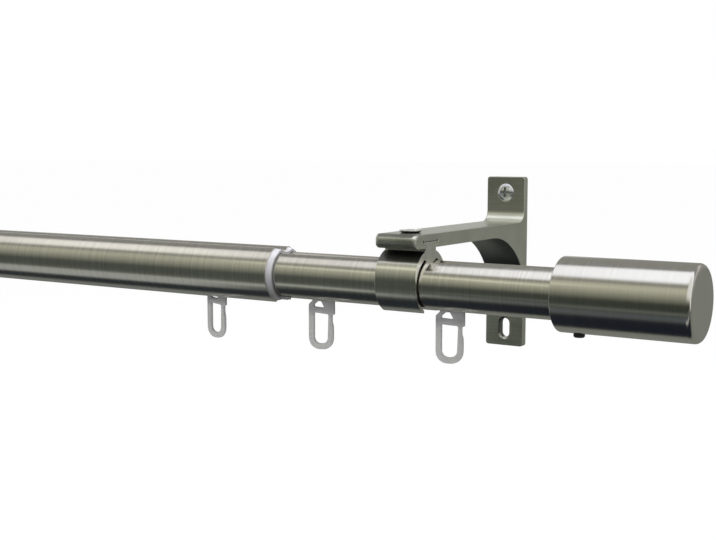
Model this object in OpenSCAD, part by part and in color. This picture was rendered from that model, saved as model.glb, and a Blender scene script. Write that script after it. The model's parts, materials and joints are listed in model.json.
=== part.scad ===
// Inner-runner curtain rod: two nested steel tubes, each with a keyway along its crown and a
// track slot along its belly, hung from two wall brackets by open clamps. Gliders run inside
// the thin tube and hang their eyelets through both slots.
// Frame: X along the rod, +X to the visible finial; Y towards the wall, wall plane at 0; Z up,
// 0 at the rod's axis. The origin is on the wall face of the right bracket.

/* [Tubes] */
// Outside diameter of the thick tube
outer_d = 20; // [17:0.5:24]
// Wall thickness of both tubes
tube_wall = 0.8; // [0.6:0.1:1]
// Radial space between the thick tube's bore and the thin tube
telescope_gap = 1; // [0.9:0.1:1.6]
// Length of the thick tube
outer_len = 600; // [300:10:1200]
// Length of the thin tube
inner_len = 600; // [300:10:1200]
// Thin tube that shows between the thick tube's mouth and the right finial
exposed_len = 103; // [80:1:200]
// Width of the track slot under the thin tube
inner_slot_w = 6; // [5.6:0.1:7]
// Width of the track slot under the thick tube
outer_slot_w = 6.6; // [6:0.1:7.4]

/* [Keyway] */
// Radius of the keyway's round hollow in the thick tube
keyway_r = 5.2; // [4.6:0.1:6]
// Depth of the keyway's floor below the thick tube's crown
keyway_depth = 2.3; // [1.8:0.1:2.6]
// Radius of the rolled shoulders beside the keyway
shoulder_r = 0.9; // [0.4:0.1:1.2]
// Space between the two nested keyways
keyway_gap = 0.35; // [0.3:0.05:0.6]

/* [Wall bracket] */
// Distance from the wall to the rod's axis
projection = 72; // [50:1:120]
// Width of the bracket and of its clamp
bracket_w = 14.8; // [12:0.2:20]
// Thickness of the wall plate
plate_t = 2.8; // [2:0.1:5]
// Height of the wall plate below the rod's axis
plate_below = 30; // [20:1:50]
// Height of the wall plate above the rod's axis
plate_above = 32.3; // [26:0.1:50]
// Corner radius of the wall plate
plate_corner_r = 1; // [0.5:0.1:4]
// Thickness of the arm
arm_t = 4.4; // [3.6:0.1:6]
// Space between the tube's crown and the underside of the arm
arm_over_tube = 3.4; // [3:0.1:6]
// How far the arm's nose reaches past the rod's axis
nose_reach = 10.3; // [9:0.1:14]
// Height of the nose's upright front
nose_face = 1.7; // [1:0.1:2.4]
// Corner radius of the nose seen from above
nose_corner_r = 1.8; // [0.5:0.1:3]
// Depth of the flats that dub the nose's four corners
nose_dub = 1.25; // [0.9:0.05:1.5]
// Run of the sloping facet over the nose
nose_bevel = 1.8; // [0.5:0.1:3]
// Run of the facet under the nose
nose_under = 1.5; // [0.5:0.1:3]
// Radius of the fillet between the arm's top and the plate
top_fillet_r = 4; // [1:0.5:6]
// Radius of the web's hollow under the arm
web_r = 28; // [20:1:34]
// How far the web's hollow starts in front of the plate
web_reach = 24.7; // [16:0.1:26]

/* [T-slot and clamp] */
// Width of the T-shaped head across its wings
head_w = 8.7; // [8:0.1:9.4]
// Height of the head's wings
head_h = 1.15; // [0.8:0.05:1.4]
// Width of the clamp's stem
stem_w = 6.7; // [6:0.1:7]
// Thickness of the jaws that carry the head's wings
jaw_t = 0.8; // [0.6:0.1:1]
// Clearance round the head inside its slot
head_gap = 0.2; // [0.1:0.05:0.3]
// Radius of the reliefs in the slot's upper corners
slot_relief_r = 0.4; // [0.2:0.05:0.4]
// Radial space between a tube and its clamp
clamp_gap = 0.7; // [0.4:0.05:0.9]
// Wall thickness of the clamp at its mouth
clamp_wall = 0.8; // [0.7:0.1:1.2]
// Extra thickness of the clamp under the stem
clamp_crown = 1.5; // [0.8:0.1:1.6]
// Width of the clamp's mouth, where the gliders pass
clamp_mouth_w = 8; // [7.4:0.1:10]
// Radius of the relief beside the clamp's key
key_relief_r = 0.5; // [0.3:0.05:0.6]
// Depth of the clamp screw's thread below the top of the clamp's head
thread_depth = 4; // [3:0.1:4.6]

/* [Screws] */
// Diameter of the clamp screw's flat head
clamp_head_d = 7.1; // [6:0.1:9]
// Height of the clamp screw's head above the arm
clamp_head_h = 1; // [0.8:0.1:2]
// Thickness of the clamp screw's head at its rim
clamp_head_rim = 0.3; // [0.2:0.1:0.6]
// How far the head's underside draws in from the rim to the arm
clamp_head_taper = 0.75; // [0.3:0.05:1]
// Diameter of the clamp screw's shank
clamp_shank_d = 3.4; // [2.5:0.1:4]
// Diameter of the wall screw's head
wall_head_d = 6.4; // [5.4:0.1:8]
// Height of the wall screw's dome
wall_dome_h = 1.1; // [0.8:0.1:2]
// Diameter of the wall screw's shank
wall_shank_d = 3.6; // [3:0.1:4]
// Length of the wall screw behind the plate
wall_screw_len = 7; // [5:1:50]
// Length of the wall screw's point
wall_point_len = 3; // [2:0.5:5]
// Arm length of the wall screw's cross recess
cross_len = 3.6; // [2.6:0.1:4]
// Width of the cross recess
cross_w = 0.9; // [0.6:0.1:1.2]
// Height of the wall screw above the rod's axis
wall_screw_z = 26.6; // [22:0.1:30]
// Depth of the countersunk edge round the plate's lower screw slot
wall_slot_sink = 0.6; // [0.2:0.1:0.9]
// Width of the plate's lower screw slot
wall_slot_w = 3.7; // [3:0.1:5]
// Length of the plate's lower screw slot
wall_slot_len = 7.2; // [6:0.1:12]
// Depth of the lower screw slot's middle below the rod's axis
wall_slot_z = 23.5; // [18:0.1:30]
// Diameter of the finials' grub screws
grub_d = 3.4; // [2.6:0.1:4]
// Chamfer at both ends of a grub screw
grub_edge = 0.3; // [0.1:0.05:0.4]
// How far a grub screw stands out of its finial
grub_proud = 1.2; // [0.4:0.1:2]
// Distance from a finial's mouth to its grub screw
grub_inset = 5.2; // [4:0.1:10]

/* [Finials] */
// Outside diameter of the finials
finial_d = 22.6; // [22.2:0.2:30]
// Length of the finials
finial_len = 41.3; // [30:0.1:60]
// Radial space between the thick tube and its finial
finial_gap = 0.3; // [0.25:0.05:0.4]
// Thickness of a finial's closed end
finial_end_t = 2.5; // [1.5:0.1:5]
// Radius of the finial's rounded front edge
finial_edge_r = 1.5; // [0.3:0.1:2.4]
// Radius of the finial's mouth edge
finial_lip_r = 0.3; // [0.1:0.1:0.5]
// Thickness of the plastic stop between a tube's end and its finial's closed end
stop_t = 2.8; // [1:0.1:6]
// Distance from a finial's mouth to the clamp beside it
finial_to_clamp = 44.9; // [30:0.1:80]
// How far the plastic fittings sit inside a finial's mouth
sleeve_recess = 0.8; // [0.3:0.1:2]

/* [Collar and guide] */
// Length of the collar that shows in front of the thick tube
collar_len = 2; // [1.2:0.1:4]
// How far the collar's ring stands back from the thick tube's outside
collar_step = 0.4; // [0.2:0.05:0.6]
// Width of the collar's front face
collar_face_w = 0.75; // [0.4:0.05:1]
// Space between the collar's front lip and the thin tube
collar_gap = 0.15; // [0.1:0.05:0.25]
// Length of the collar inside the thick tube
collar_sleeve_len = 14; // [8:1:30]
// Length of the tongues that bridge the two slots
tongue_len = 4; // [2:0.5:6]
// Thickness of those tongues
tongue_t = 0.5; // [0.4:0.05:0.8]
// Width of those tongues beside the slot
tongue_w = 0.9; // [0.6:0.1:2.4]
// Length of the guide's plug inside the thin tube
guide_plug_len = 12; // [6:1:30]
// Thickness of the guide's flange
guide_flange_t = 3; // [2:0.5:6]

/* [Gliders] */
// Places of the gliders along the rod, from the right bracket's middle
glider_x = [14.4, -34.5, -79.8]; // [-400:0.1:50]
// Turn of each eyelet on its pin
glider_turn = [20, 13, -7]; // [-25:1:25]
// Width of an eyelet across its loop
eyelet_w = 8.9; // [8:0.1:9.4]
// Width of the loop's band
band_w = 2.05; // [1.4:0.05:2.4]
// Thickness of the loop's band
band_t = 1.2; // [0.8:0.1:1.6]
// Drop of the loop below the thin tube
loop_drop = 16.5; // [14:0.1:24]
// Depth of the latch block below the thin tube
latch_drop = 4.8; // [4:0.1:6]
// How far the latch block stands out past the loop
latch_proud = 0.4; // [0.2:0.1:0.8]
// How much the latch leg draws in below its block
latch_waist = 0.45; // [0.1:0.05:0.6]
// Thickness of the bar across the loop
bar_t = 1.9; // [1.4:0.1:2.4]
// Length of a runner
runner_len = 10; // [8:0.5:12]
// Width of a runner
runner_w = 11; // [9:0.5:12]
// Height of a runner inside the track
runner_h = 3.6; // [3:0.1:4.4]
// Diameter of the eyelet's swivel pin
pin_d = 2.6; // [2:0.1:3]
// Space between a runner and the tube
runner_gap = 0.2; // [0.15:0.05:0.3]

/* [Hidden] */
$fn = 96;
eps = 0.01;
// Side of a cutting block that is larger than any section
far = 100;

outer_r = outer_d / 2;
outer_bore = outer_r - tube_wall;
inner_r = outer_bore - telescope_gap;
inner_bore = inner_r - tube_wall;

// The keyway's round hollows share one centre line above the rod
keyway_z = outer_r - keyway_depth + keyway_r;
inner_keyway_r = keyway_r + tube_wall + keyway_gap;

// Places along the rod
clamp_face_x = bracket_w / 2;
right_mouth_x = clamp_face_x + finial_to_clamp;
finial_grip = finial_len - finial_end_t - stop_t;
inner_end_x = right_mouth_x + finial_grip;
inner_start_x = inner_end_x - inner_len;
outer_end_x = right_mouth_x - exposed_len;
outer_start_x = outer_end_x - outer_len;
left_mouth_x = outer_start_x + finial_grip;
left_bracket_x = left_mouth_x + finial_to_clamp + bracket_w / 2;
// The left bracket hangs higher, because its clamp holds the thick tube
left_lift = outer_r - inner_r;

// Section of the bracket, measured from the rod's axis
arm_z = inner_r + arm_over_tube;
plate_y = projection - plate_t;
slot_top_z = arm_z + jaw_t + head_h + head_gap;
finial_r = finial_d / 2;
finial_bore = outer_r + finial_gap;
// Depth at which the web's hollow meets the plate
web_drop = web_r - sqrt(web_r * web_r - web_reach * web_reach);

// A nose corner's flat leans evenly into both sides and a little more upright
dub_side = 0.506;
dub_up = 0.698;
// Side of the block that cuts such a flat
dub_block = 10;

// Sockets of the screws that take a hexagon key
clamp_socket_d = 3;
grub_socket_d = 2;
grub_socket_h = 1.2;
// Diameter of the wall screw's blunt tip
wall_tip_d = 0.4;

// Clearance of fixed plastic fittings in the tubes and caps
fit_gap = 0.1;
// Clearance of plastic fittings that slide along a tube
slide_gap = 0.25;
// Clearance of fixed screws in their holes
screw_gap = 0.1;
// Radial clearance of the eyelet's pin in its runner
pin_gap = 0.08;
// The rolled shoulders stand this much proud, so that their outline crosses the tube's cleanly
roll_proud = 0.006;

// A section drawn in Y and Z, drawn out along X from x0
module along_x(x0, len) {
    translate([x0, 0, 0]) rotate([90, 0, 90]) linear_extrude(height = len) children();
}

// Everything on the rod's axis
module on_axis() {
    translate([0, -projection, 0]) children();
}

// Round of radius r about the keyways' centre line
module keyway_round(r) {
    translate([0, keyway_z]) circle(r = r);
}

// Disc of radius r with the keyway of radius kr hollowed out of its crown
module keyed_disc(r, kr) {
    difference() {
        circle(r = r);
        keyway_round(kr);
    }
}

// The track slot: everything below the axis and within the width w
module slot_cut(w) {
    translate([-w / 2, -far]) square([w, far]);
}

// Keyed disc whose two shoulders beside the keyway are rolled to the radius s
module rolled_disc(r, kr, s) {
    pz = (pow(r - s, 2) - pow(kr + s, 2) + pow(keyway_z, 2)) / (2 * keyway_z);
    py = sqrt(pow(r - s, 2) - pow(pz, 2));
    skin = r / (r - s);
    hollow = kr / (kr + s);
    difference() {
        keyed_disc(r, kr);
        for (side = [-1, 1]) polygon([
            [side * py, pz],
            [side * py * skin, pz * skin],
            [side * (py * skin - s), pz * skin + 2 * s],
            [side * py * hollow, keyway_z + (pz - keyway_z) * hollow]
        ]);
    }
    for (side = [-1, 1]) translate([side * py, pz]) circle(r = s + roll_proud);
}

// Section of a tube with its keyway and its track slot
module tube_section(r, kr, slot_w) {
    difference() {
        rolled_disc(r, kr, shoulder_r);
        keyed_disc(r - tube_wall, kr + tube_wall);
        slot_cut(slot_w);
    }
}

module inner_tube() {
    color([0.72, 0.71, 0.67]) on_axis() along_x(inner_start_x, inner_len)
        tube_section(inner_r, inner_keyway_r, inner_slot_w);
}

module outer_tube() {
    color([0.72, 0.71, 0.67]) on_axis() along_x(outer_start_x, outer_len)
        tube_section(outer_r, keyway_r, outer_slot_w);
}

// Collar at the thick tube's mouth: a tapered ring in front, a sleeve inside, and two tongues
// that lead the gliders' eyelets from one slot to the other
module transition_collar() {
    bore_r = inner_r + slide_gap;
    lip_r = inner_r + collar_gap;
    ring_r = outer_r - collar_step;
    color([0.72, 0.72, 0.75]) on_axis() {
        difference() {
            translate([outer_end_x, 0, 0]) rotate([0, 90, 0])
                cylinder(r1 = ring_r, r2 = lip_r + collar_face_w, h = collar_len);
            along_x(outer_end_x - eps, collar_len + 2 * eps) {
                keyway_round(keyway_r + fit_gap);
                keyed_disc(lip_r, inner_keyway_r - collar_gap);
                slot_cut(outer_slot_w);
            }
        }
        along_x(outer_end_x - collar_sleeve_len, collar_sleeve_len + eps) difference() {
            keyed_disc(outer_bore - fit_gap, keyway_r + tube_wall + fit_gap);
            circle(r = bore_r);
            slot_cut(outer_slot_w);
        }
        along_x(outer_end_x + collar_len - eps, tongue_len) intersection() {
            difference() {
                circle(r = lip_r + tongue_t);
                circle(r = lip_r);
                slot_cut(outer_slot_w);
            }
            slot_cut(outer_slot_w + 2 * tongue_w);
        }
    }
}

// Guide at the thin tube's hidden end: a plug inside it and a flange that runs in the thick tube
module inner_end_guide() {
    bore_r = inner_bore / 2;
    color([0.25, 0.25, 0.25]) on_axis() {
        along_x(inner_start_x - eps, guide_plug_len) difference() {
            keyed_disc(inner_bore - fit_gap, inner_keyway_r + tube_wall + fit_gap);
            circle(r = bore_r);
        }
        along_x(inner_start_x - guide_flange_t, guide_flange_t) difference() {
            keyed_disc(outer_bore - slide_gap, keyway_r + tube_wall + slide_gap);
            circle(r = bore_r);
        }
    }
}

// Section of the bracket in Y and Z from the rod's axis: nosed arm, plate, fillet and web
module bracket_section() {
    difference() {
        union() {
            translate([0, arm_z]) polygon([
                [plate_y, 0],
                [plate_y, arm_t],
                [nose_bevel - nose_reach, arm_t],
                [-nose_reach, arm_t - nose_bevel / 2],
                [-nose_reach, arm_t - nose_bevel / 2 - nose_face],
                [nose_under - nose_reach, 0]
            ]);
            translate([plate_y, -plate_below]) square([plate_t, plate_below + plate_above]);
            translate([plate_y, arm_z + arm_t]) difference() {
                translate([-top_fillet_r, -eps]) square([top_fillet_r + eps, top_fillet_r + eps]);
                translate([-top_fillet_r, top_fillet_r]) circle(r = top_fillet_r);
            }
            translate([plate_y - web_reach, arm_z]) difference() {
                translate([0, -web_r]) square([web_reach + eps, web_r + eps]);
                translate([0, -web_r]) circle(r = web_r);
                translate([-far, -far - web_r]) square([2 * far, far]);
                translate([0, -far - web_drop]) square([far, far]);
            }
        }
        translate([-stem_w / 2 - head_gap, arm_z - eps])
            square([stem_w + 2 * head_gap, jaw_t + 2 * eps]);
        translate([-head_w / 2 - head_gap, arm_z + jaw_t])
            square([head_w + 2 * head_gap, head_h + head_gap]);
        for (side = [-1, 1]) translate([side * (head_w / 2 + head_gap), slot_top_z])
            circle(r = slot_relief_r);
    }
}

// Outline of the plate seen from the room, used to round its corners
module plate_outline() {
    high = plate_below + plate_above;
    c = plate_corner_r;
    translate([-bracket_w / 2, -plate_below]) {
        translate([c, 0]) square([bracket_w - 2 * c, high]);
        translate([0, c]) square([bracket_w, high - 2 * c]);
        for (x = [c, bracket_w - c], z = [c, high - c]) translate([x, z]) circle(r = c);
    }
}

// Outline of the bracket seen from above, used to round the nose's corners
module nose_plan() {
    c = nose_corner_r;
    deep = projection + nose_reach + 1;
    translate([-bracket_w / 2, 1 - deep]) {
        translate([c, 0]) square([bracket_w - 2 * c, deep]);
        translate([0, c]) square([bracket_w, deep - c]);
        for (x = [c, bracket_w - c]) translate([x, c]) circle(r = c);
    }
}

// Block beyond the flat that dubs the nose's corner at the side, at the top (up = 1) or the
// bottom (up = -1)
module nose_dub_cut(side, up) {
    z = up > 0 ? arm_z + arm_t : arm_z;
    lean = atan2(dub_side * sqrt(2), dub_up);
    translate([side * bracket_w / 2, -projection - nose_reach, z])
        rotate([0, 0, side > 0 ? -45 : -135]) rotate([0, up > 0 ? lean : 180 - lean, 0])
            translate([-dub_block / 2, -dub_block / 2, -nose_dub]) cube(dub_block);
}

// Hole that a screw's head sinks into: straight bore and a cone at the plate's front face
module sunk_hole(bore_d, mouth_d) {
    sink = (mouth_d - bore_d) / 2;
    rotate([-90, 0, 0]) {
        translate([0, 0, -eps]) cylinder(d = bore_d, h = plate_t + 2 * eps);
        translate([0, 0, -eps]) cylinder(d1 = mouth_d, d2 = bore_d, h = sink);
    }
}

// Lower screw slot, with its edge countersunk at the front
module sunk_slot() {
    half = (wall_slot_len - wall_slot_w) / 2;
    sink = wall_slot_sink;
    for (z = [-half, half]) translate([0, 0, z]) sunk_hole(wall_slot_w, wall_slot_w + 2 * sink);
    translate([-wall_slot_w / 2, -eps, -half]) cube([wall_slot_w, plate_t + 2 * eps, 2 * half]);
    translate([0, -eps, -half]) linear_extrude(height = 2 * half) polygon([
        [-wall_slot_w / 2 - sink, 0],
        [wall_slot_w / 2 + sink, 0],
        [wall_slot_w / 2, sink],
        [-wall_slot_w / 2, sink]
    ]);
}

module bracket() {
    intersection() {
        difference() {
            on_axis() along_x(-bracket_w / 2, bracket_w) bracket_section();
            translate([0, -plate_t, wall_screw_z])
                sunk_hole(wall_shank_d + 2 * screw_gap, wall_head_d + 2 * screw_gap);
            translate([0, -plate_t, -wall_slot_z]) sunk_slot();
            translate([0, -projection, arm_z])
                cylinder(d = clamp_shank_d + 2 * screw_gap, h = arm_t + eps);
            for (side = [-1, 1], up = [-1, 1]) nose_dub_cut(side, up);
        }
        translate([0, eps, 0]) rotate([90, 0, 0])
            linear_extrude(height = projection + 2 * nose_reach) plate_outline();
        translate([0, 0, -plate_below - eps])
            linear_extrude(height = plate_below + plate_above + 2 * eps) nose_plan();
    }
}

// Section of a clamp round a tube of radius r whose keyway has the radius kr. Its top carries
// the stem and the T-shaped head, and a round key reaches into the tube's keyway.
module clamp_section(r, kr) {
    bore = r + clamp_gap;
    skin = bore + clamp_wall;
    lift = r - inner_r;
    head_z = arm_z + lift + jaw_t;
    key_y = kr * sin(acos((keyway_z * keyway_z + kr * kr - r * r) / (2 * keyway_z * kr)));
    difference() {
        union() {
            circle(r = skin);
            translate([0, clamp_crown]) circle(r = skin);
            translate([-skin, 0]) square([2 * skin, clamp_crown]);
            translate([-stem_w / 2, 0]) square([stem_w, head_z + eps]);
            translate([-head_w / 2, head_z]) square([head_w, head_h]);
        }
        keyed_disc(bore, kr - slide_gap);
        for (side = [-1, 1]) translate([side * (key_y + key_relief_r), sqrt(r * r - key_y * key_y)])
            circle(r = key_relief_r);
        slot_cut(clamp_mouth_w);
    }
}

module clamp(r, kr) {
    lift = r - inner_r;
    depth = arm_over_tube + jaw_t + head_h;
    color([0.62, 0.62, 0.56]) difference() {
        on_axis() along_x(-bracket_w / 2, bracket_w) clamp_section(r, kr);
        translate([0, -projection, arm_z + lift + jaw_t + head_h - thread_depth])
            cylinder(d = clamp_shank_d + 2 * screw_gap, h = depth);
    }
}

module right_bracket() {
    color([0.47, 0.47, 0.41]) bracket();
}

module left_bracket() {
    color([0.47, 0.47, 0.41]) translate([left_bracket_x, 0, left_lift]) bracket();
}

module right_clamp() {
    clamp(inner_r, inner_keyway_r);
}

module left_clamp() {
    translate([left_bracket_x, 0, 0]) clamp(outer_r, keyway_r);
}

// Clamp screw: a flat slotless head on a cone, and a shank into the clamp's stem
module clamp_screw() {
    top = arm_z + arm_t;
    tip = slot_top_z - head_gap - thread_depth + screw_gap;
    cone_h = clamp_head_h - clamp_head_rim;
    color([0.55, 0.55, 0.50]) translate([0, -projection, 0]) difference() {
        union() {
            translate([0, 0, tip]) cylinder(d = clamp_shank_d, h = top - tip + eps);
            translate([0, 0, top])
                cylinder(d1 = clamp_head_d - 2 * clamp_head_taper, d2 = clamp_head_d, h = cone_h);
            translate([0, 0, top + cone_h]) cylinder(d = clamp_head_d, h = clamp_head_rim);
        }
        translate([0, 0, top + cone_h]) cylinder(d = clamp_socket_d, h = 1, $fn = 6);
    }
}

module right_clamp_screw() {
    clamp_screw();
}

module left_clamp_screw() {
    translate([left_bracket_x, 0, left_lift]) clamp_screw();
}

// Wall screw: a domed head sunk in the plate, a cross recess, and a pointed shank
module wall_screw() {
    sink = (wall_head_d - wall_shank_d) / 2;
    dome_r = (pow(wall_head_d / 2, 2) + pow(wall_dome_h, 2)) / (2 * wall_dome_h);
    shank_len = plate_t + wall_screw_len - sink - wall_point_len;
    color([0.78, 0.78, 0.76]) translate([0, -plate_t, wall_screw_z]) rotate([-90, 0, 0]) {
        difference() {
            union() {
                intersection() {
                    translate([0, 0, dome_r - wall_dome_h]) sphere(r = dome_r);
                    translate([0, 0, -wall_dome_h]) cylinder(d = wall_head_d, h = wall_dome_h);
                }
                cylinder(d1 = wall_head_d, d2 = wall_shank_d, h = sink);
            }
            for (turn = [0, 90]) rotate([0, 0, turn])
                translate([-cross_len / 2, -cross_w / 2, -wall_dome_h - eps])
                    cube([cross_len, cross_w, wall_dome_h + sink / 2]);
        }
        translate([0, 0, sink - eps]) cylinder(d = wall_shank_d, h = shank_len + eps);
        translate([0, 0, sink + shank_len])
            cylinder(d1 = wall_shank_d, d2 = wall_tip_d, h = wall_point_len);
    }
}

module right_wall_screw() {
    wall_screw();
}

module left_wall_screw() {
    translate([left_bracket_x, 0, left_lift]) wall_screw();
}

// Finial cap: a cup along +X with its mouth at 0, turned edges, and the grub screw's hole
module finial_cap() {
    e = finial_edge_r;
    lip = finial_lip_r;
    difference() {
        rotate([0, 90, 0]) rotate_extrude() difference() {
            union() {
                translate([0, lip]) square([finial_r, finial_len - lip - e]);
                square([finial_r - lip, finial_len - e]);
                square([finial_r - e, finial_len]);
                translate([finial_r - lip, lip]) circle(r = lip);
                translate([finial_r - e, finial_len - e]) circle(r = e);
            }
            translate([0, -eps]) square([finial_bore, finial_len - finial_end_t + eps]);
        }
        translate([grub_inset, 0, -finial_r - eps])
            cylinder(d = grub_d + 2 * screw_gap, h = finial_r - finial_bore + 2 * eps + 1);
    }
}

module right_finial_cap() {
    color([0.72, 0.71, 0.67]) on_axis() translate([right_mouth_x, 0, 0]) finial_cap();
}

module left_finial_cap() {
    color([0.72, 0.71, 0.67]) on_axis() translate([left_mouth_x, 0, 0]) mirror([1, 0, 0])
        finial_cap();
}

// Blind seat in a plastic fitting for the tip of a grub screw, from the radius r inwards
module grub_seat(x, r) {
    translate([x, 0, -far]) cylinder(d = grub_d + 2 * screw_gap, h = far - r);
}

// Sleeve that fills the right finial round the thin tube, with a rib in the tube's slot
module right_finial_sleeve() {
    rib_w = inner_slot_w - 2 * slide_gap;
    x0 = right_mouth_x + sleeve_recess;
    len = finial_grip - sleeve_recess;
    color([0.30, 0.30, 0.30]) on_axis() {
        difference() {
            along_x(x0, len + eps) {
                difference() {
                    circle(r = finial_bore - fit_gap);
                    keyed_disc(inner_r + slide_gap, inner_keyway_r - slide_gap);
                }
                translate([-rib_w / 2, -inner_r - 2 * slide_gap])
                    square([rib_w, tube_wall + 2 * slide_gap]);
            }
            grub_seat(right_mouth_x + grub_inset, inner_r + slide_gap);
        }
        along_x(inner_end_x, stop_t) circle(r = finial_bore - fit_gap);
    }
}

// Plug inside the thick tube under the left finial, with a rib in the tube's slot
module left_finial_plug() {
    rib_w = outer_slot_w - 2 * slide_gap;
    len = finial_grip - sleeve_recess;
    color([0.30, 0.30, 0.30]) on_axis() {
        along_x(outer_start_x - eps, len + eps) {
            difference() {
                keyed_disc(outer_bore - slide_gap, keyway_r + tube_wall + slide_gap);
                circle(r = outer_bore / 2);
            }
            translate([-rib_w / 2, -outer_r]) square([rib_w, outer_r - outer_bore + 1]);
        }
        along_x(outer_start_x - stop_t, stop_t) circle(r = finial_bore - fit_gap);
    }
}

// Grub screw with a hexagon socket, standing out of the finial; its tip is at the radius tip_r
module grub_screw(tip_r) {
    len = finial_r + grub_proud - tip_r;
    edge = grub_edge;
    color([0.08, 0.08, 0.08]) translate([0, -projection, -finial_r - grub_proud]) difference() {
        union() {
            cylinder(d1 = grub_d - 2 * edge, d2 = grub_d, h = edge);
            translate([0, 0, edge]) cylinder(d = grub_d, h = len - 2 * edge);
            translate([0, 0, len - edge]) cylinder(d1 = grub_d, d2 = grub_d - 2 * edge, h = edge);
        }
        translate([0, 0, -eps]) cylinder(d = grub_socket_d, h = grub_socket_h, $fn = 6);
    }
}

module right_grub_screw() {
    translate([right_mouth_x + grub_inset, 0, 0]) grub_screw(inner_r + slide_gap + screw_gap);
}

module left_grub_screw() {
    translate([left_mouth_x - grub_inset, 0, 0]) grub_screw(outer_r + screw_gap);
}

// Heights of a glider, from the rod's axis down
runner_foot = inner_bore - runner_gap;
runner_top_z = -inner_bore + runner_h;
head_bar_z = -inner_r + tube_wall - 0.05;
boss_z = head_bar_z + 0.15;
pin_r = pin_d / 2;
pin_cap_h = 1;
// How far the pin runs into the parts it joins
pin_seat = 0.2;
// Vertical play of the eyelet on its runner
lift_gap = 0.15;
// Eyelet's top: drop of its bar, fall of the bar towards the latch, chamfer of its shoulder,
// and the small three-cornered window over the bar
bar_drop = 2;
bar_fall = 0.6;
shoulder_drop = 1.3;
eye_top_w = 1.1;
eye_top_drop = 0.2;
// Latch leg: its width under the block, and where it swells to the loop's full width
latch_leg_w = 1.35;
swell_from = 1.8;
swell_len = 2.4;
swell_steps = 8;

// Runner: a block whose belly follows the bore, with a boss that rides in the slot
module runner(i) {
    color([0.55, 0.55, 0.55]) translate([glider_x[i], 0, 0]) difference() {
        on_axis() along_x(-runner_len / 2, runner_len) {
            intersection() {
                circle(r = runner_foot);
                translate([-runner_w / 2, -far]) square([runner_w, far + runner_top_z]);
                translate([-far, -far]) square([2 * far, far + runner_top_z]);
            }
            translate([-inner_slot_w / 2 + runner_gap, boss_z])
                square([inner_slot_w - 2 * runner_gap, -boss_z + runner_top_z - eps]);
        }
        translate([0, -projection, -far])
            cylinder(r = pin_r + pin_gap, h = far);
    }
}

// Outline of an eyelet's flat plate: a stadium with a chamfered shoulder, a bar, a latch block
// and a latch leg that swells in an S-curve below the block
module eyelet_outline() {
    half = eyelet_w / 2;
    belly = -inner_r;
    bend_z = belly - loop_drop + half;
    bar_z = belly - bar_drop;
    bar_low = bar_z - bar_t;
    block_z = belly - latch_drop;
    block_x = half + latch_proud;
    leg_in = half - band_w;
    leg_out = half - latch_waist;
    latch_in = leg_in + band_w - latch_waist - latch_leg_w;
    difference() {
        union() {
            translate([0, bend_z]) circle(r = half);
            polygon(concat([
                [-half, bend_z],
                [-half, belly - shoulder_drop],
                [shoulder_drop - half, belly],
                [shoulder_drop - half, head_bar_z],
                [block_x, head_bar_z],
                [block_x, block_z + latch_proud],
                [leg_out, block_z]
            ], [for (i = [0 : swell_steps]) [
                leg_out + latch_waist * (1 - cos(180 * i / swell_steps)) / 2,
                block_z - swell_from - swell_len * i / swell_steps
            ]], [[half, bend_z]]));
        }
        translate([0, bend_z]) circle(r = leg_in);
        polygon([
            [-leg_in, bend_z],
            [-leg_in, bar_low],
            [latch_in, bar_low - bar_fall],
            [latch_in, block_z],
            [leg_in, bend_z]
        ]);
        polygon([
            [-leg_in, bar_z],
            [-leg_in, belly - shoulder_drop],
            [-eye_top_w, belly - eye_top_drop],
            [0, belly - eye_top_drop],
            [eye_top_w, bar_z - bar_fall / 2]
        ]);
    }
}

// Eyelet: the flat plate hung from a swivel pin whose cap sits above the runner
module eyelet(i) {
    pin_top = runner_top_z + lift_gap;
    color([0.60, 0.60, 0.60]) translate([glider_x[i], -projection, 0]) rotate([0, 0, glider_turn[i]]) {
        translate([0, band_t / 2, 0]) rotate([90, 0, 0]) linear_extrude(height = band_t)
            eyelet_outline();
        translate([0, 0, head_bar_z - pin_seat])
            cylinder(r = pin_r, h = pin_top - head_bar_z + 2 * pin_seat);
        translate([0, 0, pin_top]) cylinder(r = pin_r + 1, h = pin_cap_h);
    }
}

module runner_1() {
    runner(0);
}

module eyelet_1() {
    eyelet(0);
}

module runner_2() {
    runner(1);
}

module eyelet_2() {
    eyelet(1);
}

module runner_3() {
    runner(2);
}

module eyelet_3() {
    eyelet(2);
}

right_bracket();
right_clamp();
right_clamp_screw();
right_wall_screw();
left_bracket();
left_clamp();
left_clamp_screw();
left_wall_screw();
inner_tube();
inner_end_guide();
outer_tube();
transition_collar();
right_finial_cap();
right_finial_sleeve();
right_grub_screw();
left_finial_cap();
left_finial_plug();
left_grub_screw();
runner_1();
eyelet_1();
runner_2();
eyelet_2();
runner_3();
eyelet_3();
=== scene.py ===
"""Looks of an inner-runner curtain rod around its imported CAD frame.

The rod's tubes, caps, clamps and brackets are the frame's own solids with brushed and satin
metal finishes. The plastic loops and the screw threads are numpy surfaces that ride on the
frame's bodies and take their places from its joints and boxes. Every length is in metres, in
the frame's own axes: X along the rod, Y into the wall, Z up, with the rod's axis 72 mm in front
of the wall plane. Only the sizes of a loop are in millimetres.
"""

from __future__ import annotations

import json
import logging
import math
from dataclasses import dataclass, field, replace
from enum import Enum
from typing import Any, Callable, Sequence

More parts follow.
